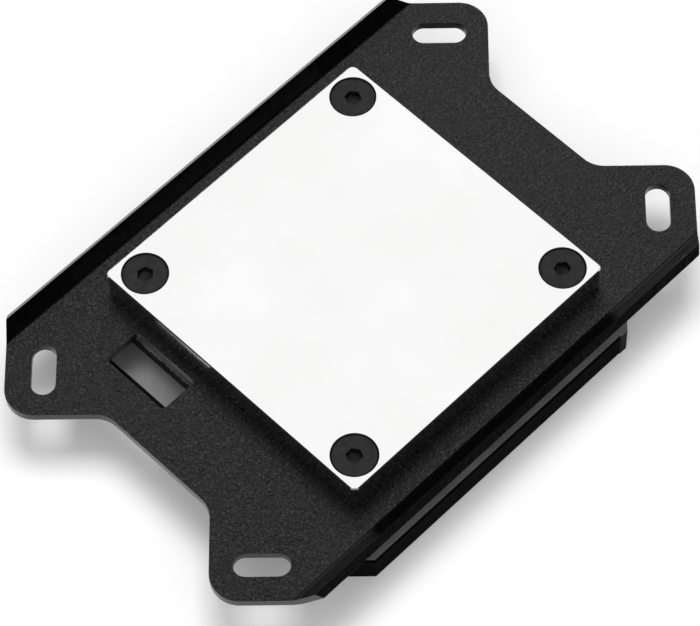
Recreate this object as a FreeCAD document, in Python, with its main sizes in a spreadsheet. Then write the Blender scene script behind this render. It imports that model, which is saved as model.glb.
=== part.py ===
import FreeCAD, Part
import math
import os
import Sketcher

# Processor water block, lying on its cover with the cold plate up, as a fitter sets it down.
# Millimetres. The origin is under the middle of the block, on the surface it lies on.
# X is the long way of the mounting plate; Y runs across its two folded lips.

doc = FreeCAD.newDocument("WaterBlock")
sheet = doc.addObject("Spreadsheet::Sheet", "Sizes")

sizes = {
    # Mounting plate: sheet steel, four slotted ears at 45 degrees, two folded lips
    "sheet_thickness": 1.6,
    "plate_width": 74.0,
    "lip_height": 2.0,
    "lip_angle": 40,
    "lip_bend": 1.5,
    "ear_margin": 6.34,
    "ear_flank": 8.45,
    "ear_corner": 5.0,
    "waist_length": 90.0,
    "waist_corner": 5.0,
    "slot_long_pitch": 93.0,
    "slot_short_pitch": 51.0,
    "slot_width": 4.1,
    "slot_length": 9.3,
    "window_width": 7.2,
    "window_length": 13.5,
    "window_web": 2.8,
    "window_along": 12.85,
    "window_corner": 0.6,

    # Cold plate: nickel plated copper with a field of fine cooling fins inside
    "cold_side": 58.0,
    "cold_thickness": 5.5,
    "cold_corner": 1.2,
    "cold_bevel": 0.2,
    "fin_length": 28.0,
    "fin_gap": 0.5,
    "fin_pitch": 1.0,
    "fin_count": 29,
    "fin_depth": 2.5,

    # Four countersunk socket screws that hold the cold plate to the body
    "screw_inset": 4.75,
    "screw_thread": 4.0,
    "screw_head": 7.4,
    "screw_land": 0.1,
    "screw_length": 14.0,
    "screw_drop": 0.2,
    "screw_socket": 2.5,
    "screw_socket_depth": 1.7,
    "screw_play": 0.1,
    "screw_hole_gap": 1.3,

    # Body: machined block with a wide eight sided flange at its port face
    "flange_reach": 5.05,
    "corner_cut": 4.4,
    "flange_height": 5.9,
    "block_reach": 0.35,
    "block_corner": 3.0,
    "step_height": 8.8,
    "seat_height": 14.3,
    "seat_width": 0.5,
    "boss_inset": 1.3,
    "boss_corner": 3.0,
    "boss_play": 0.3,
    "ledge_thickness": 0.5,
    "ledge_setback": 0.3,

    # Two ports with quarter inch parallel pipe threads
    "port_pitch": 25.4,
    "port_bore": 11.9,
    "port_mouth": 13.4,
    "port_depth": 6.5,
    "port_channel": 8.0,
    "port_collar": 21.6,
    "collar_drop": 0.2,
    "collar_play": 0.2,

    # Cover: folded black sheet that slides over the port face
    "cover_sheet": 1.5,
    "rim_wall": 1.0,
    "rim_play": 0.1,
    "rim_gap": 0.05,
    "land_width": 6.0,
    "cover_edge": 0.4,
    "cover_screw_inset": 6.0,
    "cover_screw_thread": 2.5,
    "cover_screw_head": 4.6,
    "cover_screw_drop": 0.1,
    "cover_screw_length": 4.5,
    "cover_screw_socket": 1.5,
    "cover_screw_socket_depth": 0.9,
    "cover_screw_hole_gap": 0.7,

    # Flow chamber between body and cold plate, with its seal, jet insert and jet plate
    "chamber_side": 36.0,
    "chamber_corner": 3.0,
    "chamber_play": 0.2,
    "seal_margin": 2.5,
    "seal_corner": 6.0,
    "seal_cord": 1.6,
    "seal_play": 0.3,
    "insert_thickness": 3.0,
    "jet_sheet": 0.5,
    "jet_length": 26.0,
    "jet_slit": 1.0,
    "jet_across": 24.0,
    "feed_width": 2.0,
    "feed_depth": 1.5,
    "feed_run": 4.0,
    "return_web": 0.4,
    "return_width": 3.0,
    "return_pitch": 28.0,
}
for row, (alias, value) in enumerate(sizes.items(), 1):
    sheet.set(f"A{row}", alias)
    sheet.set(f"B{row}", str(value))
    sheet.setAlias(f"B{row}", alias)
doc.recompute()

# Measures that follow from the sizes, in the order in which the pieces lie on each other
slot_x = "(Sizes.slot_long_pitch / 2)"
slot_y = "(Sizes.slot_short_pitch / 2)"
ear_reach = f"(({slot_x} + {slot_y}) * cos(45) + Sizes.ear_margin)"
ear_inset = f"(({slot_x} - {slot_y}) * cos(45) + Sizes.ear_flank)"
boss_width = "(Sizes.cold_side - 2 * Sizes.boss_inset)"
opening_width = f"({boss_width} + 2 * Sizes.boss_play)"
neck_width = f"({opening_width} + 2 * Sizes.seat_width)"
block_width = "(Sizes.cold_side + 2 * Sizes.block_reach)"
flange_half = f"({block_width} / 2 + Sizes.flange_reach)"
screw_offset = "(Sizes.cold_side / 2 - Sizes.screw_inset)"
seal_side = "(Sizes.chamber_side + 2 * Sizes.seal_margin)"
boss_top = "(Sizes.seat_height + Sizes.sheet_thickness)"
contact_top = f"({boss_top} + Sizes.cold_thickness)"
cover_end = f"({flange_half} - Sizes.land_width - Sizes.rim_play)"
cover_screw_spots = (
    (f"(Sizes.cover_screw_inset - {flange_half})", f"(Sizes.cover_screw_inset - {flange_half})"),
    (f"({cover_end} - Sizes.cover_screw_inset)", f"(Sizes.cover_screw_inset - {flange_half})"),
    (f"({cover_end} - Sizes.cover_screw_inset)", f"({flange_half} - Sizes.cover_screw_inset)"),
    (f"(Sizes.cover_screw_inset - {flange_half})", f"({flange_half} - Sizes.cover_screw_inset)"),
)
corner_screw_spots = (
    (f"-{screw_offset}", f"-{screw_offset}"), (screw_offset, f"-{screw_offset}"),
    (screw_offset, screw_offset), (f"-{screw_offset}", screw_offset),
)
port_spots = (("-Sizes.port_pitch / 2", "0 "), ("Sizes.port_pitch / 2", "0 "))


def number(expression):
    """Today's value of an expression of the sheet."""
    return float(sheet.evalExpression(expression))


def origin_plane(body, role):
    """One of a body's own three base planes."""
    for feature in body.Origin.OriginFeatures:
        if feature.Role == role:
            return feature
    raise ValueError(role)


def new_body(name):
    """An empty sub-part; its label names its file."""
    body = doc.addObject("PartDesign::Body", name)
    body.Label = name
    return body


def place(body, along="0", across="0", height="0"):
    """Put a sub-part at its place in the assembled block."""
    body.setExpression("Placement.Base.x", along)
    body.setExpression("Placement.Base.y", across)
    body.setExpression("Placement.Base.z", height)


def new_sketch(body, name, height="0", role="XY_Plane"):
    """A sketch parallel to one of the body's base planes, at a bound distance from it."""
    sketch = body.newObject("Sketcher::SketchObject", name)
    sketch.AttachmentSupport = [(origin_plane(body, role), "")]
    sketch.MapMode = "FlatFace"
    sketch.setExpression("AttachmentOffset.Base.z", height)
    return sketch


def fix(sketch, kind, where, expression):
    """Bind one measure of a sketch to an expression."""
    index = sketch.addConstraint(Sketcher.Constraint(kind, *where, number(expression)))
    sketch.setExpression(f"Constraints[{index}]", expression)


def polygon(sketch, corners):
    """Closed outline whose corners are pairs of expressions."""
    first = sketch.GeometryCount
    points = [FreeCAD.Vector(number(x), number(y), 0) for x, y in corners]
    count = len(points)
    for index in range(count):
        sketch.addGeometry(Part.LineSegment(points[index], points[(index + 1) % count]))
    for index in range(count):
        following = first + (index + 1) % count
        sketch.addConstraint(Sketcher.Constraint("Coincident", first + index, 2, following, 1))
    for index, (x, y) in enumerate(corners):
        fix(sketch, "DistanceX", (first + index, 1), x)
        fix(sketch, "DistanceY", (first + index, 1), y)


def rectangle(sketch, width, depth, x="0 ", y="0 "):
    """Rectangle of the given size round a centre."""
    left, right = f"{x} - ({width}) / 2", f"{x} + ({width}) / 2"
    near, far = f"{y} - ({depth}) / 2", f"{y} + ({depth}) / 2"
    polygon(sketch, ((left, near), (right, near), (right, far), (left, far)))


def circle(sketch, diameter, x, y):
    """Circle with a bound centre and diameter."""
    centre = FreeCAD.Vector(number(x), number(y), 0)
    index = sketch.addGeometry(Part.Circle(centre, FreeCAD.Vector(0, 0, 1), number(diameter) / 2))
    fix(sketch, "DistanceX", (index, 3), x)
    fix(sketch, "DistanceY", (index, 3), y)
    fix(sketch, "Diameter", (index,), diameter)


def inset_corner(inset):
    """Half width of the flange's outline moved inward, and where its 45 degree cut ends."""
    half = f"({flange_half} - ({inset}))"
    return half, f"({half} - Sizes.corner_cut + (2 - sqrt(2)) * ({inset}))"


def octagon(sketch, inset):
    """The flange's eight sided outline, moved inward by the same distance on every side."""
    half, short = inset_corner(inset)
    polygon(sketch, (
        (short, f"-{half}"), (half, f"-{short}"), (half, short), (short, half),
        (f"-{short}", half), (f"-{half}", short), (f"-{half}", f"-{short}"),
        (f"-{short}", f"-{half}"),
    ))


def arc(centre, radius, start, end):
    """Arc from start to end, in degrees, for a sketch."""
    whole = Part.Circle(FreeCAD.Vector(*centre, 0), FreeCAD.Vector(0, 0, 1), radius)
    return Part.ArcOfCircle(whole, math.radians(start), math.radians(end))


def tangent_loop(sketch, arcs, centres, radius):
    """Close arcs of one bound radius and centres with the straight lines that touch them."""
    count = len(arcs)
    first = sketch.GeometryCount
    for index in range(count):
        sketch.addGeometry(arcs[index])
        sketch.addGeometry(Part.LineSegment(arcs[index].EndPoint, arcs[(index + 1) % count].StartPoint))
    for index in range(count):
        bend, line = first + 2 * index, first + 2 * index + 1
        following = first + (2 * index + 2) % (2 * count)
        sketch.addConstraint(Sketcher.Constraint("Tangent", bend, 2, line, 1))
        sketch.addConstraint(Sketcher.Constraint("Tangent", line, 2, following, 1))
        if index:
            sketch.addConstraint(Sketcher.Constraint("Equal", first, bend))
        fix(sketch, "DistanceX", (bend, 3), centres[index][0])
        fix(sketch, "DistanceY", (bend, 3), centres[index][1])
    fix(sketch, "Radius", (first,), radius)


def rounded_square(sketch, side, radius):
    """Square with four round corners about the middle."""
    reach = f"({side}) / 2 - ({radius})"
    signs = ((1, -1), (1, 1), (-1, 1), (-1, -1))
    arcs = []
    centres = []
    for quarter, (x_sign, y_sign) in enumerate(signs):
        centre = (x_sign * number(reach), y_sign * number(reach))
        arcs.append(arc(centre, number(radius), 90 * quarter - 90, 90 * quarter))
        centres.append((f"{x_sign} * ({reach})", f"{y_sign} * ({reach})"))
    tangent_loop(sketch, arcs, centres, radius)


def slanted_slot(sketch, width, length, x, y):
    """Slot with round ends that runs from upper left to lower right at 45 degrees."""
    step = f"(({length}) - ({width})) / 2 * cos(45)"
    radius = f"({width}) / 2"
    arcs = []
    centres = []
    for sign, start in ((1, -135), (-1, 45)):
        centre = (number(x) + sign * number(step), number(y) - sign * number(step))
        arcs.append(arc(centre, number(radius), start, start + 180))
        centres.append((f"{x} + {sign} * {step}", f"{y} - {sign} * {step}"))
    tangent_loop(sketch, arcs, centres, radius)


def pad(body, sketch, length, name, both_ways=False):
    """Add material up from a sketch, or equally to both sides of it."""
    feature = body.newObject("PartDesign::Pad", name)
    feature.Profile = sketch
    feature.setExpression("Length", length)
    if both_ways:
        feature.SideType = "Symmetric"
    doc.recompute()
    return feature


def pocket(body, sketch, depth, name, upward=False):
    """Cut down from a sketch, or up from it; the body must lose volume."""
    before = body.Shape.Volume
    feature = body.newObject("PartDesign::Pocket", name)
    feature.Profile = sketch
    feature.setExpression("Length", depth)
    feature.Reversed = upward
    doc.recompute()
    if body.Shape.Volume >= before:
        raise ValueError(f"{name} cuts nothing")
    return feature


def edges_where(feature, wanted):
    """Names of the edges of a feature that pass a test."""
    return [f"Edge{index}" for index, edge in enumerate(feature.Shape.Edges, 1) if wanted(edge)]


def dress(body, kind, base, edges, measure, expression, name):
    """Round or bevel some edges of the feature before."""
    feature = body.newObject(f"PartDesign::{kind}", name)
    feature.Base = (base, edges)
    feature.setExpression(measure, expression)
    doc.recompute()
    return feature


def upright(edge):
    """True of a straight edge along Z."""
    if len(edge.Vertexes) != 2:
        return False
    start, end = (vertex.Point for vertex in edge.Vertexes)
    return math.hypot(start.x - end.x, start.y - end.y) < 1e-6


def mirrored(body, features, role, name):
    """Repeat features on the other side of a base plane."""
    feature = body.newObject("PartDesign::Mirrored", name)
    feature.Originals = features
    feature.MirrorPlane = (origin_plane(body, role), [""])
    body.Tip = feature
    doc.recompute()
    return feature


def sink_size(screw):
    """Bevel of a clearance hole that lets a screw's head lie a set depth below the face."""
    head = f"(Sizes.{screw}_head - Sizes.{screw}_thread) / 2"
    return f"{head} - Sizes.screw_play + Sizes.{screw}_drop + Sizes.screw_land"


def make_mounting_plate():
    """Steel sheet with two lips folded toward the cold plate and four slotted ears."""
    body = new_body("mounting_plate")
    half = "Sizes.plate_width / 2"
    tip_y = f"{half} - Sizes.sheet_thickness * sin(Sizes.lip_angle)"
    tip_z = "Sizes.sheet_thickness + Sizes.lip_height"
    outer_z = f"{tip_z} - Sizes.sheet_thickness * cos(Sizes.lip_angle)"
    inner_fold = f"{tip_y} - Sizes.lip_height / tan(Sizes.lip_angle)"
    outer_fold = f"{inner_fold} + Sizes.sheet_thickness * tan(Sizes.lip_angle / 2)"
    sheet_top = "Sizes.sheet_thickness"

    # Section across the plate, drawn with sharp folds
    section = new_sketch(body, "plate_section", role="YZ_Plane")
    right = ((outer_fold, "0 "), (half, outer_z), (tip_y, tip_z), (inner_fold, sheet_top))
    left = tuple((f"-({y})", z) for y, z in reversed(right))
    polygon(section, right + left)
    corner_x = f"({ear_reach} + {ear_inset}) * cos(45)"
    corner_y = f"({ear_reach} - {ear_inset}) * cos(45)"
    strip = pad(body, section, f"2 * {corner_x}", "plate_strip", both_ways=True)

    # Each fold is rounded inside, and outside by a sheet thickness more
    def on_fold(edge, y_text, z_text):
        """True of the two long edges that lie on a fold of the section."""
        if edge.BoundBox.XLength < number(corner_x):
            return False
        at_y = abs(abs(edge.BoundBox.Center.y) - number(y_text)) < 1e-4
        return at_y and abs(edge.BoundBox.Center.z - number(z_text)) < 1e-4

    inner = edges_where(strip, lambda edge: on_fold(edge, inner_fold, sheet_top))
    strip = dress(body, "Fillet", strip, inner, "Radius", "Sizes.lip_bend", "inner_bend")
    outer = edges_where(strip, lambda edge: on_fold(edge, outer_fold, "0 "))
    outer_radius = "Sizes.lip_bend + Sizes.sheet_thickness"
    strip = dress(body, "Fillet", strip, outer, "Radius", outer_radius, "outer_bend")

    # Outline from above: ears cut at 45 degrees, straight waists between them
    waist_x = "Sizes.waist_length / 2"
    waist_y = f"{waist_x} - {ear_inset} / cos(45)"
    beyond = f"{half} + Sizes.sheet_thickness"
    end_x = f"{ear_reach} / cos(45) - ({beyond})"
    quarter = ((waist_x, waist_y), (corner_x, corner_y), (end_x, beyond))
    plus_plus = quarter
    minus_plus = tuple((f"-({x})", y) for x, y in reversed(quarter))
    minus_minus = tuple((f"-({x})", f"-({y})") for x, y in quarter)
    plus_minus = tuple((x, f"-({y})") for x, y in reversed(quarter))
    trim = new_sketch(body, "plate_outline", height=f"{tip_z} + Sizes.sheet_thickness")
    rectangle(trim, f"2 * {corner_x} + 4 * Sizes.ear_corner", f"2 * ({beyond}) + 4 * Sizes.ear_corner")
    polygon(trim, plus_plus + minus_plus + minus_minus + plus_minus)
    depth = f"{tip_z} + 2 * Sizes.sheet_thickness"
    plate = pocket(body, trim, depth, "plate_trim")

    def corner_at(x_text, y_text):
        """Test for the four upright edges at one corner of the outline."""
        x, y = number(x_text), number(y_text)

        def wanted(edge):
            centre = edge.BoundBox.Center
            return upright(edge) and abs(abs(centre.x) - x) < 1e-4 and abs(abs(centre.y) - y) < 1e-4

        return wanted

    ears = edges_where(plate, corner_at(corner_x, corner_y))
    plate = dress(body, "Fillet", plate, ears, "Radius", "Sizes.ear_corner", "ear_rounds")
    waists = edges_where(plate, corner_at(waist_x, waist_y))
    plate = dress(body, "Fillet", plate, waists, "Radius", "Sizes.waist_corner", "waist_rounds")

    # One slot in each ear
    slot = new_sketch(body, "ear_slot_outline", height=sheet_top)
    slanted_slot(slot, "Sizes.slot_width", "Sizes.slot_length", slot_x, slot_y)
    ear_slot = pocket(body, slot, sheet_top, "ear_slot")
    across = mirrored(body, [ear_slot], "XZ_Plane", "slots_across")
    second = new_sketch(body, "ear_slot_outline_b", height=sheet_top)
    slanted_slot(second, "Sizes.slot_width", "Sizes.slot_length", f"-{slot_x}", f"-{slot_y}")
    other_slot = pocket(body, second, sheet_top, "ear_slot_b")
    mirrored(body, [other_slot], "XZ_Plane", "slots_across_b")

    # Middle opening round the body's boss, and the single window beside it
    opening = new_sketch(body, "boss_opening_outline", height=sheet_top)
    rounded_square(opening, opening_width, "Sizes.boss_corner + Sizes.boss_play")
    pocket(body, opening, sheet_top, "boss_opening")
    window = new_sketch(body, "window_outline", height=sheet_top)
    window_x = f"-({opening_width} + Sizes.window_width) / 2 - Sizes.window_web"
    rectangle(window, "Sizes.window_width", "Sizes.window_length", window_x, "Sizes.window_along")
    hole = pocket(body, window, sheet_top, "window")
    low_x = number(f"{window_x} - Sizes.window_width / 2")
    high_x = number(f"{window_x} + Sizes.window_width / 2")
    low_y = number("Sizes.window_along - Sizes.window_length / 2")
    high_y = number("Sizes.window_along + Sizes.window_length / 2")

    def at_window(edge):
        """True of the four upright edges of the window."""
        centre = edge.BoundBox.Center
        on_x = min(abs(centre.x - low_x), abs(centre.x - high_x)) < 1e-4
        on_y = min(abs(centre.y - low_y), abs(centre.y - high_y)) < 1e-4
        return upright(edge) and on_x and on_y

    dress(body, "Fillet", hole, edges_where(hole, at_window), "Radius", "Sizes.window_corner",
          "window_rounds")
    place(body, height="Sizes.seat_height")
    return body


def make_cold_plate():
    """Copper plate: flat contact face up, countersinks at its corners, fins inside."""
    body = new_body("cold_plate")
    outline = new_sketch(body, "plate_square")
    rectangle(outline, "Sizes.cold_side", "Sizes.cold_side")
    slab = pad(body, outline, "Sizes.cold_thickness", "slab")
    slab = dress(body, "Fillet", slab, edges_where(slab, upright), "Radius", "Sizes.cold_corner",
                 "corner_rounds")
    face_z = number("Sizes.cold_thickness")
    rim = edges_where(slab, lambda edge: abs(edge.BoundBox.ZMin - face_z) < 1e-6)
    dress(body, "Chamfer", slab, rim, "Size", "Sizes.cold_bevel", "face_bevel")

    # Clearance holes, bevelled into 90 degree countersinks at the contact face
    clearance = "Sizes.screw_thread + 2 * Sizes.screw_play"
    holes = new_sketch(body, "screw_hole_circles", height="Sizes.cold_thickness")
    for x, y in corner_screw_spots:
        circle(holes, clearance, x, y)
    drilled = pocket(body, holes, "Sizes.cold_thickness", "screw_holes")
    top = number("Sizes.cold_thickness")
    radius = number(clearance) / 2

    def hole_mouth(edge):
        """True of a screw hole's rim at the contact face."""
        round_edge = isinstance(edge.Curve, Part.Circle) and abs(edge.Curve.Radius - radius) < 1e-6
        return round_edge and abs(edge.BoundBox.Center.z - top) < 1e-4

    dress(body, "Chamfer", drilled, edges_where(drilled, hole_mouth), "Size",
          sink_size("screw"), "countersinks")

    # Narrow channels side by side, which leave the fins standing between them
    channel = new_sketch(body, "fin_channel_outline")
    first_x = "-(Sizes.fin_count - 1) * Sizes.fin_pitch / 2"
    rectangle(channel, "Sizes.fin_gap", "Sizes.fin_length", first_x)
    cut = pocket(body, channel, "Sizes.fin_depth", "fin_channel", upward=True)
    row = body.newObject("PartDesign::LinearPattern", "fin_channels")
    row.Originals = [cut]
    row.Direction = (channel, ["H_Axis"])
    row.Mode = "Spacing"
    row.setExpression("Offset", "Sizes.fin_pitch")
    row.setExpression("Occurrences", "Sizes.fin_count")
    body.Tip = row
    doc.recompute()
    place(body, height=boss_top)
    return body


def make_body():
    """Machined block: flange and ports below, boss and flow chamber above."""
    body = new_body("body")

    # Core inside the cover's rim, and the ledge that overhangs the rim
    core = new_sketch(body, "core_outline", height="Sizes.cover_sheet")
    octagon(core, "Sizes.rim_wall + Sizes.rim_play")
    pad(body, core, "Sizes.flange_height - Sizes.cover_sheet", "core")
    ledge = new_sketch(body, "ledge_outline", height="Sizes.flange_height - Sizes.ledge_thickness")
    octagon(ledge, "Sizes.ledge_setback")
    pad(body, ledge, "Sizes.ledge_thickness", "ledge")

    # Land at one end, which the cover leaves free and which is as wide as the cover
    land = new_sketch(body, "land_outline")
    half, short = inset_corner("0")
    inner_x = f"{half} - Sizes.land_width"
    polygon(land, (
        (inner_x, f"-{half}"), (short, f"-{half}"), (half, f"-{short}"),
        (half, short), (short, half), (inner_x, half),
    ))
    pad(body, land, "Sizes.flange_height", "land")

    # Square block, the narrower neck that the mounting plate sits on, and the boss
    # that stands through the plate's opening; the narrower, the higher
    steps = (
        ("block", block_width, "Sizes.block_corner", "Sizes.step_height"),
        ("neck", neck_width, "Sizes.boss_corner + Sizes.boss_play + Sizes.seat_width",
         "Sizes.seat_height"),
        ("boss", boss_width, "Sizes.boss_corner", boss_top),
    )
    for name, width, corner, top in steps:
        step = new_sketch(body, f"{name}_outline", height="Sizes.cover_sheet")
        rounded_square(step, width, corner)
        pad(body, step, f"{top} - Sizes.cover_sheet", name)

    # Port collars reach down through the cover
    collars = new_sketch(body, "collar_circles", height="Sizes.collar_drop")
    for x, y in port_spots:
        circle(collars, "Sizes.port_collar", x, y)
    pad(body, collars, "Sizes.flange_height - Sizes.collar_drop", "port_collars")

    # Flow chamber and the groove of its seal, open toward the cold plate
    chamber = new_sketch(body, "chamber_outline", height=boss_top)
    rounded_square(chamber, "Sizes.chamber_side", "Sizes.chamber_corner")
    pocket(body, chamber, "Sizes.insert_thickness + Sizes.jet_sheet", "chamber")
    groove = new_sketch(body, "seal_groove_outline", height=boss_top)
    groove_width = "Sizes.seal_cord + Sizes.seal_play"
    rounded_square(groove, f"{seal_side} + {groove_width}", f"Sizes.seal_corner + ({groove_width}) / 2")
    rounded_square(groove, f"{seal_side} - ({groove_width})", f"Sizes.seal_corner - ({groove_width}) / 2")
    pocket(body, groove, "Sizes.seal_cord", "seal_groove")

    # Threaded holes for the cold plate's screws, from the boss face
    threads = new_sketch(body, "screw_thread_circles", height=boss_top)
    for x, y in corner_screw_spots:
        circle(threads, "Sizes.screw_thread + 2 * Sizes.screw_play", x, y)
    below_plate = "Sizes.screw_length + Sizes.screw_drop - Sizes.cold_thickness"
    pocket(body, threads, f"{below_plate} + Sizes.screw_hole_gap", "screw_threads")

    # Small threaded holes for the cover's screws, from the port face
    small = new_sketch(body, "cover_thread_circles", height="Sizes.cover_sheet")
    for x, y in cover_screw_spots:
        circle(small, "Sizes.cover_screw_thread + 2 * Sizes.screw_play", x, y)
    above_cover = "Sizes.cover_screw_length + Sizes.cover_screw_drop - Sizes.cover_sheet"
    pocket(body, small, f"{above_cover} + Sizes.cover_screw_hole_gap", "cover_threads", upward=True)

    # Ports: threaded bore, narrower channel on to the chamber, bevelled mouth
    channels = new_sketch(body, "channel_circles", height="Sizes.collar_drop")
    bores = new_sketch(body, "port_circles", height="Sizes.collar_drop")
    for x, y in port_spots:
        circle(channels, "Sizes.port_channel", x, y)
        circle(bores, "Sizes.port_bore", x, y)
    to_chamber = f"{boss_top} - Sizes.insert_thickness - Sizes.jet_sheet - Sizes.collar_drop"
    pocket(body, channels, to_chamber, "port_channels", upward=True)
    drilled = pocket(body, bores, "Sizes.port_depth", "port_bores", upward=True)
    mouth_z = number("Sizes.collar_drop")
    bore_radius = number("Sizes.port_bore / 2")

    def port_mouth(edge):
        """True of a port's rim at the collar face."""
        round_edge = isinstance(edge.Curve, Part.Circle) and abs(edge.Curve.Radius - bore_radius) < 1e-6
        return round_edge and abs(edge.BoundBox.Center.z - mouth_z) < 1e-4

    dress(body, "Chamfer", drilled, edges_where(drilled, port_mouth), "Size",
          "(Sizes.port_mouth - Sizes.port_bore) / 2", "port_mouths")
    place(body)
    return body


def make_cover():
    """Sheet over the port face with a rim folded up round three sides."""
    body = new_body("cover")
    def three_sides(inset):
        """Outline that is open at the land's end and has two cut corners at the other."""
        half, short = inset_corner(inset)
        return (
            (cover_end, f"-{half}"), (cover_end, half), (f"-{short}", half), (f"-{half}", short),
            (f"-{half}", f"-{short}"), (f"-{short}", f"-{half}"),
        )

    face = new_sketch(body, "face_outline")
    polygon(face, three_sides("0"))
    pad(body, face, "Sizes.cover_sheet", "face")
    rim = new_sketch(body, "rim_outline")
    outer_ring = three_sides("0")
    inner_ring = three_sides("Sizes.rim_wall")
    polygon(rim, outer_ring[1:] + outer_ring[:1] + inner_ring[:1] + tuple(reversed(inner_ring[1:])))
    rim_top = "Sizes.flange_height - Sizes.ledge_thickness - Sizes.rim_gap"
    shell = pad(body, rim, rim_top, "rim")

    # The outer edge of the face is slightly bevelled
    def outer_edge(edge):
        """True of the face's edges on the outer outline, but not at the open end."""
        box = edge.BoundBox
        if abs(box.ZMax) > 1e-6:
            return False
        return isinstance(edge.Curve, Part.Line) and box.Center.x < number(cover_end) - 1e-3

    rounded = dress(body, "Chamfer", shell, edges_where(shell, outer_edge), "Size",
                    "Sizes.cover_edge", "outer_bevel")

    # Round openings for the port collars
    ports = new_sketch(body, "port_opening_circles")
    for x, y in port_spots:
        circle(ports, "Sizes.port_collar + 2 * Sizes.collar_play", x, y)
    pocket(body, ports, "Sizes.cover_sheet", "port_openings", upward=True)

    # Countersunk holes for the four small screws
    clearance = "Sizes.cover_screw_thread + 2 * Sizes.screw_play"
    holes = new_sketch(body, "cover_screw_circles")
    for x, y in cover_screw_spots:
        circle(holes, clearance, x, y)
    drilled = pocket(body, holes, "Sizes.cover_sheet", "cover_screw_holes", upward=True)
    radius = number(clearance) / 2

    def hole_mouth(edge):
        """True of a screw hole's rim at the outer face."""
        round_edge = isinstance(edge.Curve, Part.Circle) and abs(edge.Curve.Radius - radius) < 1e-6
        return round_edge and abs(edge.BoundBox.Center.z) < 1e-4

    dress(body, "Chamfer", drilled, edges_where(drilled, hole_mouth), "Size",
          sink_size("cover_screw"), "cover_countersinks")
    place(body)
    return body


def make_screw(name, screw, turn):
    """Countersunk socket screw; its head's face is at zero and it points down."""
    thread, head, length = f"Sizes.{screw}_thread", f"Sizes.{screw}_head", f"Sizes.{screw}_length"
    socket = f"Sizes.{screw}_socket"
    body = new_body(name)
    half_section = new_sketch(body, f"{name}_section", role="XZ_Plane")
    neck_z = f"-Sizes.screw_land - ({head} - {thread}) / 2"
    polygon(half_section, (
        ("0 ", "0 "), (f"{head} / 2", "0 "), (f"{head} / 2", "-Sizes.screw_land"),
        (f"{thread} / 2", neck_z), (f"{thread} / 2", f"-{length}"), ("0 ", f"-{length}"),
    ))
    turned = body.newObject("PartDesign::Revolution", f"{name}_turned")
    turned.Profile = half_section
    turned.ReferenceAxis = (half_section, ["V_Axis"])
    turned.Angle = 360
    doc.recompute()
    hexagon = new_sketch(body, f"{name}_socket_outline")
    reach = f"{socket} / 2 / cos(30)"
    corners = [(f"{reach} * cos({turn + 60 * step})", f"{reach} * sin({turn + 60 * step})")
               for step in range(6)]
    polygon(hexagon, corners)
    pocket(body, hexagon, f"{socket}_depth", f"{name}_socket")
    return body


def make_screws():
    """Four screws at the cold plate's corners and four small ones in the cover."""
    bodies = []
    turns = (6, 17, 5, 47)
    for index, (x, y) in enumerate(corner_screw_spots):
        screw = make_screw(f"corner_screw_{index + 1}", "screw", turns[index])
        place(screw, x, y, f"{contact_top} - Sizes.screw_drop")
        bodies.append(screw)
    for index, (x, y) in enumerate(cover_screw_spots):
        screw = make_screw(f"cover_screw_{index + 1}", "cover_screw", turns[index])
        place(screw, x, y, "Sizes.cover_screw_drop")
        screw.Placement.Rotation = FreeCAD.Rotation(FreeCAD.Vector(1, 0, 0), 180)
        bodies.append(screw)
    return bodies


def make_seal():
    """Rubber ring in the groove round the chamber, drawn as it lies when pressed flat."""
    body = new_body("seal_ring")
    spine = new_sketch(body, "seal_spine")
    rounded_square(spine, seal_side, "Sizes.seal_corner")
    section = new_sketch(body, "seal_section", role="XZ_Plane")
    middle, radius = f"{seal_side} / 2", "Sizes.seal_cord / 2"
    flat = f"{radius} * tan(22.5)"
    polygon(section, (
        (f"{middle} + {flat}", f"-{radius}"), (f"{middle} + {radius}", f"-{flat}"),
        (f"{middle} + {radius}", flat), (f"{middle} + {flat}", radius),
        (f"{middle} - {flat}", radius), (f"{middle} - {radius}", flat),
        (f"{middle} - {radius}", f"-{flat}"), (f"{middle} - {flat}", f"-{radius}"),
    ))
    ring = body.newObject("PartDesign::AdditivePipe", "seal_pipe")
    ring.Profile = section
    ring.Spine = spine
    doc.recompute()
    place(body, height=f"{boss_top} - Sizes.seal_cord / 2")
    return body


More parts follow.
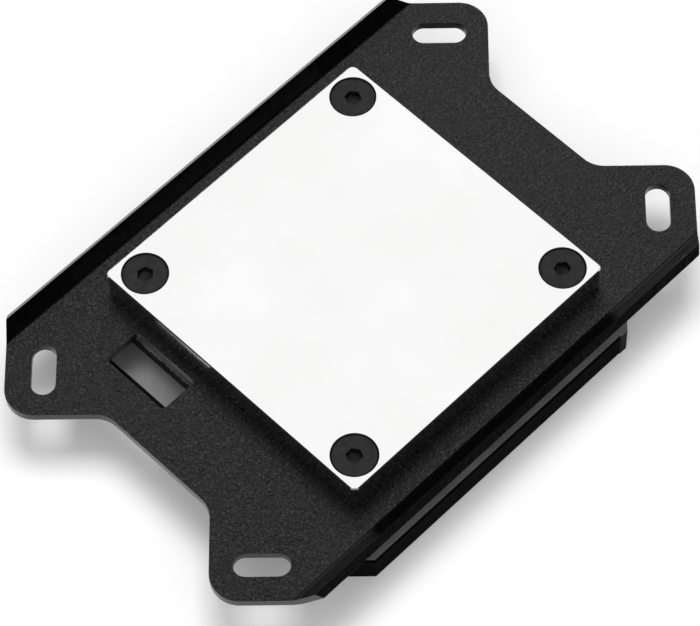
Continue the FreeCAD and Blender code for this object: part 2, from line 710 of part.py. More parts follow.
def make_jet_insert():
    """Moulded block that leads the coolant to the middle of the fins and back from their ends."""
    body = new_body("jet_insert")
    side = "Sizes.chamber_side - 2 * Sizes.chamber_play"
    outline = new_sketch(body, "insert_outline")
    rounded_square(outline, side, "Sizes.chamber_corner - Sizes.chamber_play")
    pad(body, outline, "Sizes.insert_thickness", "insert_slab")

    # Feed: a wide trough from the inlet, then a narrow slot along the fins' middle
    trough = new_sketch(body, "feed_trough_outline")
    start = "-Sizes.port_pitch / 2 - Sizes.port_channel / 2"
    half_width = "Sizes.port_channel / 2"
    polygon(trough, (
        (start, f"-{half_width}"), ("Sizes.feed_run", f"-{half_width}"),
        ("Sizes.feed_run", half_width), (start, half_width),
    ))
    pocket(body, trough, "Sizes.insert_thickness - Sizes.feed_depth", "feed_trough", upward=True)
    feed = new_sketch(body, "feed_slot_outline", height="Sizes.insert_thickness")
    rectangle(feed, "Sizes.jet_length", "Sizes.feed_width")
    pocket(body, feed, "Sizes.feed_depth", "feed_slot")

    # Return: a slot over each end of the fins, joined by a trough at the outlet
    for sign, name in ((-1, "near"), (1, "far")):
        slot = new_sketch(body, f"return_slot_outline_{name}", height="Sizes.insert_thickness")
        rectangle(slot, "Sizes.jet_length", "Sizes.return_width", y=f"{sign} * Sizes.return_pitch / 2")
        pocket(body, slot, "Sizes.insert_thickness", f"return_slot_{name}")
    collector = new_sketch(body, "collector_outline")
    rectangle(collector, "Sizes.port_channel", "Sizes.return_pitch + Sizes.return_width",
              "Sizes.port_pitch / 2")
    depth = "Sizes.insert_thickness - Sizes.feed_depth - Sizes.return_web"
    pocket(body, collector, depth, "collector", upward=True)
    place(body, height=f"{boss_top} - Sizes.jet_sheet - Sizes.insert_thickness")
    return body


def make_jet_plate():
    """Thin steel plate on the fins with the slit that the coolant is forced through."""
    body = new_body("jet_plate")
    outline = new_sketch(body, "jet_plate_outline")
    rectangle(outline, "Sizes.chamber_side - 2 * Sizes.chamber_play", "Sizes.jet_across")
    pad(body, outline, "Sizes.jet_sheet", "jet_plate_sheet")
    slit = new_sketch(body, "jet_slit_outline", height="Sizes.jet_sheet")
    rectangle(slit, "Sizes.jet_length", "Sizes.jet_slit")
    pocket(body, slit, "Sizes.jet_sheet", "jet_slit_cut")
    place(body, height=f"{boss_top} - Sizes.jet_sheet")
    return body


parts = [make_mounting_plate(), make_cold_plate(), make_body(), make_cover()]
parts += make_screws()
parts += [make_seal(), make_jet_insert(), make_jet_plate()]
doc.recompute()

for item in doc.Objects:
    if "Invalid" in item.State or "Error" in item.State:
        raise ValueError(f"{item.Label} failed: {item.State}")
for part in parts:
    if part.Shape.isNull() or not part.Shape.isValid():
        raise ValueError(f"{part.Label} has no valid shape")

os.makedirs("parts", exist_ok=True)
for part in parts:
    part.Shape.exportStep(f"parts/{part.Label}.step")
    box = part.Shape.BoundBox
    print(f"{part.Label}: {part.Shape.Volume:.1f} mm3, z {box.ZMin:.2f} to {box.ZMax:.2f}")
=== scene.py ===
import math
import random

import bpy
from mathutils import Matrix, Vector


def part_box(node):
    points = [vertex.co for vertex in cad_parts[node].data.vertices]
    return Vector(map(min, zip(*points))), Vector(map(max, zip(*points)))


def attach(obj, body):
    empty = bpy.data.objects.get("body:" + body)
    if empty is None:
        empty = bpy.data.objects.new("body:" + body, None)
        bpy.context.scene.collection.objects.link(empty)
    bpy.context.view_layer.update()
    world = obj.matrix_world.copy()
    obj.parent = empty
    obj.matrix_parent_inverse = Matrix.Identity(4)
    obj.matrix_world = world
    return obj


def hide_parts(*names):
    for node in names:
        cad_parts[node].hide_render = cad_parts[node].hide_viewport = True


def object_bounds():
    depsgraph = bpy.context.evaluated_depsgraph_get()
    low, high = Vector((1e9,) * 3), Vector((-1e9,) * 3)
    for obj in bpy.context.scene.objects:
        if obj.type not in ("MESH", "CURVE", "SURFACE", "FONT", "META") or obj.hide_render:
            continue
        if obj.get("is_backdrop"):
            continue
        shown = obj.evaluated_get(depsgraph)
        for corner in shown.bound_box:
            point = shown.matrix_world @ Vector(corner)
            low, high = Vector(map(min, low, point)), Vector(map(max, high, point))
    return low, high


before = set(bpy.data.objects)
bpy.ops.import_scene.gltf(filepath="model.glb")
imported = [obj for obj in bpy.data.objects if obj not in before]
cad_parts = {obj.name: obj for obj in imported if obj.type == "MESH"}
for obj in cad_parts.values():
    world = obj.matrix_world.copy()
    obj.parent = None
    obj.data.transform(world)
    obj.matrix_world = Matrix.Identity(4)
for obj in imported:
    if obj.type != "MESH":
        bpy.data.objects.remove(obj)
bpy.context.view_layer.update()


# The body: one block of black acetal, milled to a flange, a step, a neck and a square boss that
# carry the plates, with two ports for the hoses on its other face. Its level faces are skimmed,
# and their light grey is painted light on the black plastic; its sides keep its own near black
# and the mill's upright lines, and its edges are broken by hand.
BODY_EDGE = 0.00015                      # how far an edge is broken, in metres
WELD_GAP, SLIVER = 0.000002, 0.000001    # metres: corners nearer than these are made one
FLAT_ANGLE = 0.5                         # degrees: faces that differ by less are made one
SHARP_ANGLE, SMOOTH_ANGLE = 38, 50       # degrees: past them an edge is broken, or stays crisp
LEVEL_FACE = 0.8                         # a normal's upward share, from which a face is level
# Painted light: the level faces' light grey stands in for light falling on the black plastic.
LEVEL_PAINTED_LIGHT, LEVEL_PAINTED_LIGHT_PALE = (0.21, 0.21, 0.213, 1), (0.28, 0.28, 0.285, 1)
SIDE, SIDE_PALE = (0.011, 0.011, 0.011, 1), (0.026, 0.026, 0.0265, 1)
SIDE_SPECULAR = 0.02


def pick_up(piece):
    """Leave this piece alone selected, and make it the one that the operators act on."""
    bpy.ops.object.select_all(action="DESELECT")
    piece.select_set(True)
    bpy.context.view_layer.objects.active = piece


def recast(node, name):
    """A new piece with the node's shape, its triangles joined and its flat faces made whole."""
    piece = bpy.data.objects.new(name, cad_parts[node].data.copy())
    bpy.context.scene.collection.objects.link(piece)
    piece.data.materials.clear()
    pick_up(piece)
    bpy.ops.mesh.customdata_custom_splitnormals_clear()
    bpy.ops.object.mode_set(mode="EDIT")
    bpy.ops.mesh.select_all(action="SELECT")
    bpy.ops.mesh.remove_doubles(threshold=WELD_GAP)
    bpy.ops.mesh.dissolve_limited(angle_limit=math.radians(FLAT_ANGLE))
    bpy.ops.object.mode_set(mode="OBJECT")
    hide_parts(node)
    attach(piece, "root")
    return piece


def break_edges(piece, radius, steps):
    """Round every sharp edge of the piece, and keep its flat faces flat to the eye."""
    pick_up(piece)
    rounding = piece.modifiers.new("Broken edges", "BEVEL")
    rounding.width = radius
    rounding.segments = steps
    rounding.limit_method = "ANGLE"
    rounding.angle_limit = math.radians(SHARP_ANGLE)
    bpy.ops.object.modifier_apply(modifier=rounding.name)
    bpy.ops.object.mode_set(mode="EDIT")
    bpy.ops.mesh.select_all(action="SELECT")
    bpy.ops.mesh.remove_doubles(threshold=SLIVER)
    bpy.ops.object.mode_set(mode="OBJECT")
    bpy.ops.object.shade_smooth_by_angle(angle=math.radians(SMOOTH_ANGLE))
    flatness = piece.modifiers.new("Flat faces", "WEIGHTED_NORMAL")
    flatness.keep_sharp = True
    bpy.ops.object.modifier_apply(modifier=flatness.name)


def new_group(name, inputs, output):
    """An empty shader node group with these number or vector inputs and one output number."""
    group = bpy.data.node_groups.new(name, "ShaderNodeTree")
    for label, value in inputs.items():
        kind = "NodeSocketVector" if value is None else "NodeSocketFloat"
        socket = group.interface.new_socket(label, in_out="INPUT", socket_type=kind)
        if value is not None:
            socket.default_value = value
    group.interface.new_socket(output, in_out="OUTPUT", socket_type="NodeSocketFloat")
    return group, group.nodes.new("NodeGroupInput"), group.nodes.new("NodeGroupOutput")


def sized(group, start, size_label):
    """The group's Vector input divided by one of its sizes."""
    share = group.nodes.new("ShaderNodeMath")
    share.operation = "DIVIDE"
    share.inputs[0].default_value = 1.0
    group.links.new(start.outputs[size_label], share.inputs[1])
    scaled = group.nodes.new("ShaderNodeVectorMath")
    scaled.operation = "SCALE"
    group.links.new(start.outputs["Vector"], scaled.inputs[0])
    group.links.new(share.outputs[0], scaled.inputs["Scale"])
    return scaled.outputs[0]


def make_clouds():
    """Soft patches of a size, from a low to a high value."""
    group, start, end = new_group(
        "Clouds", {"Vector": None, "Size": 0.01, "Low": 0.0, "High": 1.0}, "Value")
    noise = group.nodes.new("ShaderNodeTexNoise")
    noise.inputs["Scale"].default_value = 1.0
    noise.inputs["Detail"].default_value = 3.0
    group.links.new(sized(group, start, "Size"), noise.inputs["Vector"])
    spread = group.nodes.new("ShaderNodeMapRange")
    spread.inputs["From Min"].default_value = 0.3
    spread.inputs["From Max"].default_value = 0.7
    group.links.new(noise.outputs[0], spread.inputs["Value"])
    group.links.new(start.outputs["Low"], spread.inputs["To Min"])
    group.links.new(start.outputs["High"], spread.inputs["To Max"])
    group.links.new(spread.outputs[0], end.inputs[0])
    return group


def make_cutter_lines():
    """Fine lines of uneven depth, a spacing apart along X and a length long across it."""
    group, start, end = new_group(
        "Cutter lines", {"Vector": None, "Spacing": 0.0002, "Length": 0.02}, "Height")
    across = sized(group, start, "Spacing")
    along = sized(group, start, "Length")
    parts = group.nodes.new("ShaderNodeSeparateXYZ")
    group.links.new(across, parts.inputs[0])
    long_parts = group.nodes.new("ShaderNodeSeparateXYZ")
    group.links.new(along, long_parts.inputs[0])
    joined = group.nodes.new("ShaderNodeCombineXYZ")
    group.links.new(parts.outputs[0], joined.inputs[0])
    group.links.new(long_parts.outputs[1], joined.inputs[1])
    group.links.new(long_parts.outputs[2], joined.inputs[2])
    noise = group.nodes.new("ShaderNodeTexNoise")
    noise.inputs["Scale"].default_value = 1.0
    noise.inputs["Detail"].default_value = 4.0
    noise.inputs["Roughness"].default_value = 0.7
    group.links.new(joined.outputs[0], noise.inputs["Vector"])
    group.links.new(noise.outputs[0], end.inputs[0])
    return group


def make_grain():
    """Small round bumps of a size, such as a coat or a moulded skin has."""
    group, start, end = new_group("Grain", {"Vector": None, "Size": 0.0003}, "Height")
    place = sized(group, start, "Size")
    noise = group.nodes.new("ShaderNodeTexNoise")
    noise.inputs["Scale"].default_value = 1.0
    noise.inputs["Detail"].default_value = 2.5
    noise.inputs["Distortion"].default_value = 0.6
    group.links.new(place, noise.inputs["Vector"])
    group.links.new(noise.outputs[0], end.inputs[0])
    return group


CLOUDS, CUTTER_LINES, GRAIN = make_clouds(), make_cutter_lines(), make_grain()


def new_surface(name):
    """A material, its node tree, its shader and the place on the object that it reads."""
    surface = bpy.data.materials.new(name)
    surface.use_nodes = True
    tree = surface.node_tree
    place = tree.nodes.new("ShaderNodeTexCoord").outputs["Object"]
    return surface, tree, tree.nodes["Principled BSDF"], place


def effect(tree, group, place, **values):
    """Put a group into a material with its own values, and give its output."""
    node = tree.nodes.new("ShaderNodeGroup")
    node.node_tree = group
    tree.links.new(place, node.inputs["Vector"])
    for label, value in values.items():
        node.inputs[label].default_value = value
    return node.outputs[0]


def turned(tree, place, angle):
    """The place turned about Z by these degrees, so that a pattern runs another way."""
    node = tree.nodes.new("ShaderNodeMapping")
    node.inputs["Rotation"].default_value = (0, 0, math.radians(angle))
    tree.links.new(place, node.inputs["Vector"])
    return node.outputs[0]


def colour_between(tree, shader, mask, first, second):
    """Blend the shader's colour from the first to the second by a mask."""
    mix = tree.nodes.new("ShaderNodeMix")
    mix.data_type = "RGBA"
    # The node has a set of sockets for each kind of value, and these are the ones for colours
    factor, low_end, high_end = mix.inputs[0], mix.inputs[6], mix.inputs[7]
    low_end.default_value = first
    high_end.default_value = second
    tree.links.new(mask, factor)
    tree.links.new(mix.outputs[2], shader.inputs["Base Color"])


def raise_bumps(tree, shader, height, depth, before=None):
    """Turn a height into bumps this deep, in metres, on top of any earlier ones."""
    bump = tree.nodes.new("ShaderNodeBump")
    bump.inputs["Strength"].default_value = 1.0
    bump.inputs["Distance"].default_value = depth
    tree.links.new(height, bump.inputs["Height"])
    if before is not None:
        tree.links.new(before, bump.inputs["Normal"])
    tree.links.new(bump.outputs[0], shader.inputs["Normal"])
    return bump.outputs[0]


def dress(piece, surface):
    """Give the piece this material all over."""
    if piece.material_slots:
        for slot in piece.material_slots:
            slot.material = surface
    else:
        piece.data.materials.append(surface)


# The level faces' material: a light grey as painted light, over the same cutter lines and grain.
painted_light_acetal, tree, shader, place = new_surface("Acetal with painted light")
patches = effect(tree, CLOUDS, place, Size=0.004)
colour_between(tree, shader, patches, LEVEL_PAINTED_LIGHT, LEVEL_PAINTED_LIGHT_PALE)
satin = effect(tree, CLOUDS, place, Size=0.002, Low=0.36, High=0.46)
tree.links.new(satin, shader.inputs["Roughness"])
lines = effect(tree, CUTTER_LINES, place, Spacing=0.00022, Length=0.04)
swept = raise_bumps(tree, shader, lines, depth=0.00003)
raise_bumps(tree, shader, effect(tree, GRAIN, place, Size=0.00012), depth=0.00001, before=swept)

milled, tree, shader, place = new_surface("Milled acetal")
colour_between(tree, shader, effect(tree, CLOUDS, place, Size=0.004), SIDE, SIDE_PALE)
satin = effect(tree, CLOUDS, place, Size=0.002, Low=0.55, High=0.68)
tree.links.new(satin, shader.inputs["Roughness"])
lines = effect(tree, CUTTER_LINES, turned(tree, place, 45), Spacing=0.00016, Length=0.05)
upright = raise_bumps(tree, shader, lines, depth=0.00004)
raise_bumps(tree, shader, effect(tree, GRAIN, place, Size=0.00012), depth=0.00001, before=upright)
shader.inputs["Specular IOR Level"].default_value = SIDE_SPECULAR

body = recast("body", "milled_body")
break_edges(body, BODY_EDGE, steps=2)
dress(body, milled)
body.data.materials.append(painted_light_acetal)
# Level faces get the painted light; all other faces keep the plastic's own near black.
for face in body.data.polygons:
    face.material_index = 1 if abs(face.normal.z) > LEVEL_FACE else 0


# The burrs: acetal that the cutter pushed out over the four edges of the body's step when it was
# skimmed last. Each is a thin strip of the body's own plastic, torn to a ragged outer edge, and
# the one by the plate's window shows.
STEP_HALF, STEP_TOP = 0.02935, 0.0088
BURR_REACH, BURR_THICK, BURR_CUTS = 0.00048, 0.00005, 200
BURR_TORN, BURR_DROOP = 0.7, 0.00006     # share of the reach torn off at most, and metres it hangs
CORNER_CLEAR = 0.005                     # how far a burr stops short of the step's corners
BURR_LENGTH = 2 * (STEP_HALF - CORNER_CLEAR)
OUTER_BAND = 0.00001                     # metres: corners within this of the outer edge are on it
chance = random.Random(11)

for side in range(4):
    bpy.ops.object.select_all(action="DESELECT")
    bpy.ops.mesh.primitive_grid_add(x_subdivisions=2, y_subdivisions=BURR_CUTS, size=1)
    burr = bpy.context.object
    burr.name = f"step_burr_{side + 1}"
    burr.scale = (BURR_REACH, BURR_LENGTH, 1)
    burr.location = (STEP_HALF, 0, STEP_TOP + BURR_THICK)
    bpy.ops.object.transform_apply(location=True, rotation=False, scale=True)
    outer = max(corner.co.x for corner in burr.data.vertices)
    for corner in burr.data.vertices:
        if corner.co.x > outer - OUTER_BAND:
            corner.co.x -= chance.random() ** 2 * BURR_REACH * BURR_TORN
            corner.co.z -= chance.random() * BURR_DROOP
    sheet = burr.modifiers.new("Thickness", "SOLIDIFY")
    sheet.thickness = BURR_THICK
    bpy.ops.object.modifier_apply(modifier=sheet.name)
    burr.rotation_euler.z = side * math.pi / 2
    bpy.ops.object.transform_apply(location=True, rotation=True, scale=True)
    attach(burr, "root")
    # The burrs wear the level faces' painted light: a light grey on the black plastic.
    dress(burr, painted_light_acetal)


# The ports' threads: each port is cut with a fine pipe thread for a hose fitting.
# Its crests stand in from the bore, from the mouth's bevel to the bottom of the bore.
THREAD_PITCH, THREAD_TURNS, THREAD_STEPS = 0.001337, 4, 48
PORTS = (-0.0127, 0.0127)                # where the ports stand along X
ROOT_RADIUS, CREST_RADIUS = 0.00598, 0.00572   # the root is sunk 0.03 mm into the bore's wall
THREAD_START = 0.00105
CREST_HALF, ROOT_HALF = 0.00014, 0.00052


def cut_thread(name, x):
    """One port's helical crest, turned from a small four-sided section."""
    bpy.ops.object.select_all(action="DESELECT")
    bpy.ops.mesh.primitive_plane_add(size=1, location=(x, 0, THREAD_START))
    crest = bpy.context.object
    crest.name = name
    section = ((CREST_RADIUS, -CREST_HALF), (ROOT_RADIUS, -ROOT_HALF),
               (ROOT_RADIUS, ROOT_HALF), (CREST_RADIUS, CREST_HALF))
    spots = sorted(crest.data.vertices, key=lambda v: (v.co.x, v.co.y))
    for corner, (radius, height) in zip((spots[0], spots[2], spots[3], spots[1]), section):
        corner.co = (radius, 0, height + ROOT_HALF)
    helix = crest.modifiers.new("Thread", "SCREW")
    helix.angle = 2 * math.pi
    helix.screw_offset = THREAD_PITCH
    helix.iterations = THREAD_TURNS
    helix.steps = helix.render_steps = THREAD_STEPS
    helix.use_smooth_shade = False
    bpy.ops.object.modifier_apply(modifier=helix.name)
    bpy.ops.object.mode_set(mode="EDIT")
    bpy.ops.mesh.select_all(action="SELECT")
    bpy.ops.mesh.remove_doubles(threshold=WELD_GAP)
    bpy.ops.mesh.select_all(action="DESELECT")
    bpy.ops.mesh.select_non_manifold()
    bpy.ops.mesh.edge_face_add()
    bpy.ops.mesh.select_all(action="SELECT")
    bpy.ops.mesh.normals_make_consistent(inside=False)
    bpy.ops.object.mode_set(mode="OBJECT")
    bpy.ops.object.transform_apply(location=True, rotation=True, scale=True)
    bpy.ops.object.shade_smooth_by_angle(angle=math.radians(20))
    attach(crest, "root")
    return crest


for side, x in zip(("inlet", "outlet"), PORTS):
    dress(cut_thread("thread_" + side, x), milled)


# The seal ring: a cord of black nitrile rubber in a groove round the flow chamber, squeezed by
# the cold plate. Moulded rubber is dull, with a faint bloom on it.
RUBBER, RUBBER_BLOOM = (0.010, 0.010, 0.010, 1), (0.022, 0.022, 0.022, 1)

rubber, tree, shader, place = new_surface("Moulded rubber")
colour_between(tree, shader, effect(tree, CLOUDS, place, Size=0.004), RUBBER, RUBBER_BLOOM)
dull = effect(tree, CLOUDS, place, Size=0.001, Low=0.62, High=0.78)
tree.links.new(dull, shader.inputs["Roughness"])
raise_bumps(tree, shader, effect(tree, GRAIN, place, Size=0.0002), depth=0.00001)
seal = recast("seal_ring", "seal_cord")
bpy.ops.object.shade_smooth_by_angle(angle=math.radians(SMOOTH_ANGLE))
dress(seal, rubber)


# The jet insert: moulded off-white plastic in the flow chamber, which leads the coolant onto
# the fins and back. Its skin has the fine grain of the mould.
INSERT_EDGE = 0.0001
INSERT, INSERT_WORN = (0.75, 0.74, 0.70, 1), (0.67, 0.66, 0.62, 1)

moulded, tree, shader, place = new_surface("Moulded plastic")
colour_between(tree, shader, effect(tree, CLOUDS, place, Size=0.005), INSERT, INSERT_WORN)
gloss = effect(tree, CLOUDS, place, Size=0.002, Low=0.38, High=0.5)
tree.links.new(gloss, shader.inputs["Roughness"])
raise_bumps(tree, shader, effect(tree, GRAIN, place, Size=0.00015), depth=0.000008)
insert = recast("jet_insert", "moulded_insert")
break_edges(insert, INSERT_EDGE, steps=2)
dress(insert, moulded)


# The jet plate: thin stainless sheet with one slit over the fins, lying on the insert.
# Rolled sheet has long fine lines one way and a few soft stains from the coolant.
STEEL, STEEL_STAINED = (0.60, 0.59, 0.57, 1), (0.50, 0.49, 0.47, 1)

rolled, tree, shader, place = new_surface("Rolled stainless")
shader.inputs["Metallic"].default_value = 1.0
colour_between(tree, shader, effect(tree, CLOUDS, place, Size=0.006), STEEL, STEEL_STAINED)
sheen = effect(tree, CLOUDS, place, Size=0.003, Low=0.26, High=0.36)
tree.links.new(sheen, shader.inputs["Roughness"])
lines = effect(tree, CUTTER_LINES, place, Spacing=0.00008, Length=0.03)
raise_bumps(tree, shader, lines, depth=0.000003)
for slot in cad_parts["jet_plate"].material_slots:
    slot.material = rolled


# The mounting plate: steel sheet cut to four ears with slots and a window, its long edges
# folded up, and then powder coated black. The coat is thick, so it rounds every edge, and
# it dries with a fine wrinkled grain, and lies thinner and smoother on folds and edges.
COAT_EDGE = 0.00028
COAT, COAT_PALE = (0.0002, 0.0002, 0.0002, 1), (0.0060, 0.0060, 0.0062, 1)
EDGE_COAT_PALE = (0.0020, 0.0020, 0.0020, 1)
COAT_SPECULAR, EDGE_SPECULAR = 0.84, 0.4
COATED_FLAT = 0.97                       # a normal's upward share, from which the coat is thick

coat, tree, shader, place = new_surface("Black powder coat")
colour_between(tree, shader, effect(tree, CLOUDS, place, Size=0.00045), COAT, COAT_PALE)
satin = effect(tree, CLOUDS, place, Size=0.0006, Low=0.22, High=0.38)
tree.links.new(satin, shader.inputs["Roughness"])
waves = raise_bumps(tree, shader, effect(tree, GRAIN, place, Size=0.0012), depth=0.00006)
raise_bumps(tree, shader, effect(tree, GRAIN, place, Size=0.0005), depth=0.00023, before=waves)
shader.inputs["Specular IOR Level"].default_value = COAT_SPECULAR

thin_coat, tree, shader, place = new_surface("Black powder coat on edges")
colour_between(tree, shader, effect(tree, CLOUDS, place, Size=0.001), COAT, EDGE_COAT_PALE)
satin = effect(tree, CLOUDS, place, Size=0.0008, Low=0.20, High=0.28)
tree.links.new(satin, shader.inputs["Roughness"])
raise_bumps(tree, shader, effect(tree, GRAIN, place, Size=0.0005), depth=0.00003)
shader.inputs["Specular IOR Level"].default_value = EDGE_SPECULAR

plate = recast("mounting_plate", "folded_plate")
break_edges(plate, COAT_EDGE, steps=3)
dress(plate, coat)
plate.data.materials.append(thin_coat)
for face in plate.data.polygons:
    face.material_index = 0 if abs(face.normal.z) > COATED_FLAT else 1


# The cold plate: a square of copper with fins on its inner side, nickel plated and lapped to
# a mirror, which leaves a faint crossed haze. The slopes of its four countersinks are coloured
# near black as painted shade, for the dark ring of shadow that shows round each screw head.
NICKEL, NICKEL_WARM = (0.950, 0.950, 0.950, 1), (0.905, 0.904, 0.900, 1)
# Painted shade: near black on the countersinks' plated slopes, for the shadow in the gap round
# each head.
COUNTERSINK_SHADE, COUNTERSINK_SHADE_PALE, COUNTERSINK_SHADE_SPECULAR = (0.004, 0.004, 0.004, 1), (0.010, 0.010, 0.010, 1), 0.2
SCREW_OFFSET, SINK_RADIUS = 0.02425, 0.0044
SLOPING_FACE = 0.9                       # a normal's upward share, below which a face slopes

nickel, tree, shader, place = new_surface("Lapped nickel")
shader.inputs["Metallic"].default_value = 1.0
colour_between(tree, shader, effect(tree, CLOUDS, place, Size=0.02), NICKEL, NICKEL_WARM)
haze = effect(tree, CLOUDS, place, Size=0.012, Low=0.10, High=0.16)
tree.links.new(haze, shader.inputs["Roughness"])
lapped = effect(tree, CUTTER_LINES, turned(tree, place, 28), Spacing=0.00009, Length=0.03)
first_pass = raise_bumps(tree, shader, lapped, depth=0.0000006)
crossed = effect(tree, CUTTER_LINES, turned(tree, place, -52), Spacing=0.00012, Length=0.02)
raise_bumps(tree, shader, crossed, depth=0.0000005, before=first_pass)

# The countersinks' material: painted shade, dull and near black.
countersink_shade, tree, shader, place = new_surface("Countersink painted shade")
colour_between(tree, shader, effect(tree, CLOUDS, place, Size=0.001), COUNTERSINK_SHADE, COUNTERSINK_SHADE_PALE)
shader.inputs["Specular IOR Level"].default_value = COUNTERSINK_SHADE_SPECULAR
matt = effect(tree, CLOUDS, place, Size=0.0008, Low=0.55, High=0.7)
tree.links.new(matt, shader.inputs["Roughness"])

cold_plate = recast("cold_plate", "lapped_plate")
bpy.ops.object.shade_smooth_by_angle(angle=math.radians(30))
dress(cold_plate, nickel)
cold_plate.data.materials.append(countersink_shade)
# The countersinks' sloping faces get the painted shade.
for face in cold_plate.data.polygons:
    aside = math.hypot(abs(face.center.x) - SCREW_OFFSET, abs(face.center.y) - SCREW_OFFSET)
    if aside < SINK_RADIUS and abs(face.normal.z) < SLOPING_FACE:
        face.material_index = 1


# The four corner screws: countersunk steel screws with hexagon sockets, blackened in a hot
# bath. The head is turned, so it has faint rings, and the socket is punched to a blunt cone.
HEAD_EDGE = 0.00008
OXIDE, OXIDE_PALE = (0.006, 0.006, 0.0063, 1), (0.013, 0.013, 0.0135, 1)


def make_rings():
    """Fine rings round the Z axis through the origin of the vector."""
    group, start, end = new_group("Turned rings", {"Vector": None, "Spacing": 0.00025},
                                  "Height")
    place = sized(group, start, "Spacing")
    parts = group.nodes.new("ShaderNodeSeparateXYZ")
    group.links.new(place, parts.inputs[0])
    flat = group.nodes.new("ShaderNodeCombineXYZ")
    group.links.new(parts.outputs[0], flat.inputs[0])
    group.links.new(parts.outputs[1], flat.inputs[1])
    radius = group.nodes.new("ShaderNodeVectorMath")
    radius.operation = "LENGTH"
    group.links.new(flat.outputs[0], radius.inputs[0])
    noise = group.nodes.new("ShaderNodeTexNoise")
    noise.noise_dimensions = "1D"
    noise.inputs["Scale"].default_value = 1.0
    noise.inputs["Detail"].default_value = 3.0
    group.links.new(radius.outputs["Value"], noise.inputs["W"])
    group.links.new(noise.outputs[0], end.inputs[0])
    return group


RINGS = make_rings()


def blackened(name, x, y):
    """Black oxide on turned steel, with its rings round a screw that stands at x, y."""
    surface, tree, shader, place = new_surface(name)
    colour_between(tree, shader, effect(tree, CLOUDS, place, Size=0.0012), OXIDE, OXIDE_PALE)
    satin = effect(tree, CLOUDS, place, Size=0.0008, Low=0.36, High=0.5)
    tree.links.new(satin, shader.inputs["Roughness"])
    centred = tree.nodes.new("ShaderNodeMapping")
    centred.inputs["Location"].default_value = (-x, -y, 0)
    tree.links.new(place, centred.inputs["Vector"])
    rings = effect(tree, RINGS, centred.outputs[0], Spacing=0.00018)
    turned_face = raise_bumps(tree, shader, rings, depth=0.000006)
    specks = effect(tree, GRAIN, place, Size=0.0001)
    raise_bumps(tree, shader, specks, depth=0.000005, before=turned_face)
    return surface


SOCKET_DEPTH, CONE_RADIUS, CONE_HEIGHT = 0.0017, 0.00146, 0.00045
CONE_TIP, CONE_SINK = 0.0001, 0.00002    # its blunt tip's radius, and how far it is sunk in

for number in range(1, 5):
    node = f"corner_screw_{number}"
    low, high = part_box(node)
    x, y = (low.x + high.x) / 2, (low.y + high.y) / 2
    screw = recast(node, f"socket_screw_{number}")
    break_edges(screw, HEAD_EDGE, steps=2)
    bpy.ops.object.select_all(action="DESELECT")
    bpy.ops.mesh.primitive_cylinder_add(
        vertices=32, radius=CONE_RADIUS, depth=CONE_HEIGHT,
        location=(x, y, high.z - SOCKET_DEPTH + CONE_HEIGHT / 2 - CONE_SINK))
    punched = bpy.context.object
    bpy.ops.object.transform_apply(location=True, rotation=True, scale=True)
    bpy.ops.object.mode_set(mode="EDIT")
    bpy.ops.mesh.select_all(action="DESELECT")
    bpy.ops.object.mode_set(mode="OBJECT")
    rim = max(corner.co.z for corner in punched.data.vertices)
    for corner in punched.data.vertices:
        corner.select = corner.co.z > rim - CONE_HEIGHT / 2
    bpy.ops.object.mode_set(mode="EDIT")
    bpy.ops.mesh.inset(thickness=CONE_RADIUS - CONE_TIP)
    bpy.ops.transform.translate(value=(0, 0, -CONE_HEIGHT + 2 * CONE_SINK))
    bpy.ops.object.mode_set(mode="OBJECT")
    bpy.ops.object.shade_smooth_by_angle(angle=math.radians(30))
    screw.select_set(True)
    bpy.context.view_layer.objects.active = screw
    bpy.ops.object.join()
    dress(screw, blackened(f"Black oxide {number}", x, y))


# The cover: thin black painted sheet over the port face, folded up round the body as a rim,
# with two round openings for the ports. The paint is smooth and almost flat.
COVER_EDGE = 0.00015
PAINT, PAINT_PALE = (0.0035, 0.0035, 0.0036, 1), (0.0070, 0.0070, 0.0073, 1)
PAINT_SPECULAR = 0.005

paint, tree, shader, place = new_surface("Black flat paint")
colour_between(tree, shader, effect(tree, CLOUDS, place, Size=0.008), PAINT, PAINT_PALE)
satin = effect(tree, CLOUDS, place, Size=0.004, Low=0.56, High=0.66)
tree.links.new(satin, shader.inputs["Roughness"])
raise_bumps(tree, shader, effect(tree, GRAIN, place, Size=0.0002), depth=0.000007)
shader.inputs["Specular IOR Level"].default_value = PAINT_SPECULAR

cover = recast("cover", "painted_cover")
break_edges(cover, COVER_EDGE, steps=2)
dress(cover, paint)


# The four cover screws: small countersunk screws of the same blackened steel, heads down,
# which hold the cover on the body.
SMALL_HEAD_EDGE = 0.00005

for number in range(1, 5):
    node = f"cover_screw_{number}"
    low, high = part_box(node)
    x, y = (low.x + high.x) / 2, (low.y + high.y) / 2
    screw = recast(node, f"small_screw_{number}")
    break_edges(screw, SMALL_HEAD_EDGE, steps=2)
    dress(screw, blackened(f"Black oxide small {number}", x, y))


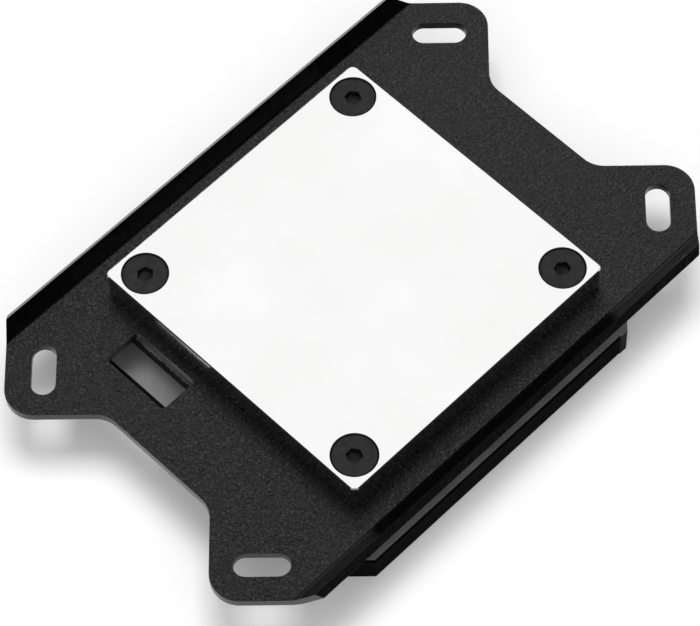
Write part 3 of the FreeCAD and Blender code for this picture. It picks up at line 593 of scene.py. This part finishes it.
# The table and the light: a plain white table in a pale room with a dark ceiling and two
# black flags, a soft box on the far side, whose glow the nickel mirrors, a key light from
# overhead and a broad fill light from above the camera.
TABLE_RADIUS, TABLE_SIDES = 6.0, 96
FLOOR_COLOUR = (0.93, 0.93, 0.93, 1)
FLOOR_DEPTH = 0.00005                    # how far the table lies below the part's lowest face
FLOOR_GLOW = 0.14                        # white added for camera, mirrored and clear rays only
WALL_LEVEL, CEILING_LEVEL = 0.60, 0.02   # the room's walls are pale and its ceiling dark
WALL_TOP, CEILING_EDGE = 0.34, 0.52      # the sines of the heights where one fades into the other
FLAGS = ((0.37, -0.929, 0.0), (-0.925, 0.38, 0.0))   # the bearings of two black flags
FLAG_CLEAR, FLAG_EDGE = 0.93, 0.97       # cosines off its bearing: no flag yet, and full black
BOX_SIDE, BOX_RADIANCE, BOX_PLACE = 0.55, 1.0, (0.30, 0.32, 0.78)
KEY_SIDE, KEY_RADIANCE, KEY_PLACE = 0.55, 11.0, (0.04, 0.04, 1.4)
FILL_SIDE, FILL_RADIANCE, FILL_PLACE = 1.6, 1.25, (-0.38, -0.41, 1.2)

bpy.ops.object.select_all(action="DESELECT")
bpy.ops.mesh.primitive_circle_add(vertices=TABLE_SIDES, radius=TABLE_RADIUS, fill_type="NGON",
                                  location=(0, 0, -FLOOR_DEPTH))
table = bpy.context.object
table.name = "table_top"
table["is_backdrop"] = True
top = bpy.data.materials.new("White table")
top.use_nodes = True
tree = top.node_tree
shader = tree.nodes["Principled BSDF"]
shader.inputs["Base Color"].default_value = FLOOR_COLOUR
shader.inputs["Roughness"].default_value = 0.9
shader.inputs["Specular IOR Level"].default_value = 0.1
shader.inputs["Emission Color"].default_value = (1, 1, 1, 1)
ray = tree.nodes.new("ShaderNodeLightPath")
seen = ray.outputs["Is Camera Ray"]
for label in ("Is Glossy Ray", "Is Transmission Ray"):
    either = tree.nodes.new("ShaderNodeMath")
    either.operation = "MAXIMUM"
    tree.links.new(seen, either.inputs[0])
    tree.links.new(ray.outputs[label], either.inputs[1])
    seen = either.outputs[0]
glow = tree.nodes.new("ShaderNodeMath")
glow.operation = "MULTIPLY"
glow.inputs[1].default_value = FLOOR_GLOW
tree.links.new(seen, glow.inputs[0])
tree.links.new(glow.outputs[0], shader.inputs["Emission Strength"])
table.data.materials.append(top)

room = bpy.data.worlds.new("Even room")
bpy.context.scene.world = room
room.use_nodes = True
tree = room.node_tree
heading = tree.nodes.new("ShaderNodeTexCoord")
parts = tree.nodes.new("ShaderNodeSeparateXYZ")
tree.links.new(heading.outputs["Generated"], parts.inputs[0])
fade = tree.nodes.new("ShaderNodeMapRange")
fade.interpolation_type = "SMOOTHSTEP"
for label, value in (("From Min", WALL_TOP), ("From Max", CEILING_EDGE),
                     ("To Min", WALL_LEVEL), ("To Max", CEILING_LEVEL)):
    fade.inputs[label].default_value = value
tree.links.new(parts.outputs[2], fade.inputs["Value"])
level = tree.nodes.new("ShaderNodeCombineXYZ")
for number in (0, 1):
    tree.links.new(parts.outputs[number], level.inputs[number])
bearing = tree.nodes.new("ShaderNodeVectorMath")
bearing.operation = "NORMALIZE"
tree.links.new(level.outputs[0], bearing.inputs[0])
wall = fade.outputs[0]
for flag in FLAGS:
    towards = tree.nodes.new("ShaderNodeVectorMath")
    towards.operation = "DOT_PRODUCT"
    towards.inputs[1].default_value = flag
    tree.links.new(bearing.outputs[0], towards.inputs[0])
    shade = tree.nodes.new("ShaderNodeMapRange")
    for label, value in (("From Min", FLAG_CLEAR), ("From Max", FLAG_EDGE),
                         ("To Min", 1.0), ("To Max", CEILING_LEVEL / WALL_LEVEL)):
        shade.inputs[label].default_value = value
    tree.links.new(towards.outputs["Value"], shade.inputs["Value"])
    both = tree.nodes.new("ShaderNodeMath")
    both.operation = "MULTIPLY"
    tree.links.new(wall, both.inputs[0])
    tree.links.new(shade.outputs[0], both.inputs[1])
    wall = both.outputs[0]
tree.nodes["Background"].inputs["Color"].default_value = (1, 1, 1, 1)
tree.links.new(wall, tree.nodes["Background"].inputs["Strength"])


def hang_light(name, side, radiance, spot):
    """A square soft box of this side and brightness, hung at the spot and aimed at the part."""
    bpy.ops.object.light_add(type="AREA", location=spot)
    light = bpy.context.object
    light.name = name
    light.data.shape = "SQUARE"
    light.data.size = side
    light.data.energy = radiance * math.pi * side ** 2
    light.rotation_mode = "QUATERNION"
    light.rotation_quaternion = light.location.to_track_quat("Z", "Y")
    return light


card = hang_light("soft_box", BOX_SIDE, BOX_RADIANCE, BOX_PLACE)
card.visible_diffuse = False
key = hang_light("key_light", KEY_SIDE, KEY_RADIANCE, KEY_PLACE)
key.visible_glossy = False
fill = hang_light("fill_light", FILL_SIDE, FILL_RADIANCE, FILL_PLACE)
fill.visible_glossy = False


# The camera: it looks down at the cold plate from the left and in front, about thirty degrees
# off the vertical, through a long lens.
CAMERA_PLACE = (-0.212891, -0.224963, 0.536599)
CAMERA_TURN = (30.3342, 1.1344, -45.1981)              # degrees about X, Y and Z
LENS, SENSOR, NEAREST = 188.22, 36, 0.01               # millimetres, millimetres and metres

bpy.ops.object.camera_add(location=CAMERA_PLACE,
                          rotation=[math.radians(angle) for angle in CAMERA_TURN])
camera = bpy.context.object
camera.data.lens = LENS
camera.data.sensor_width = SENSOR
camera.data.clip_start = NEAREST
bpy.context.scene.camera = camera
bpy.context.scene.view_settings.view_transform = "Standard"


# The size: the box of the finished model, in metres.
low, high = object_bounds()
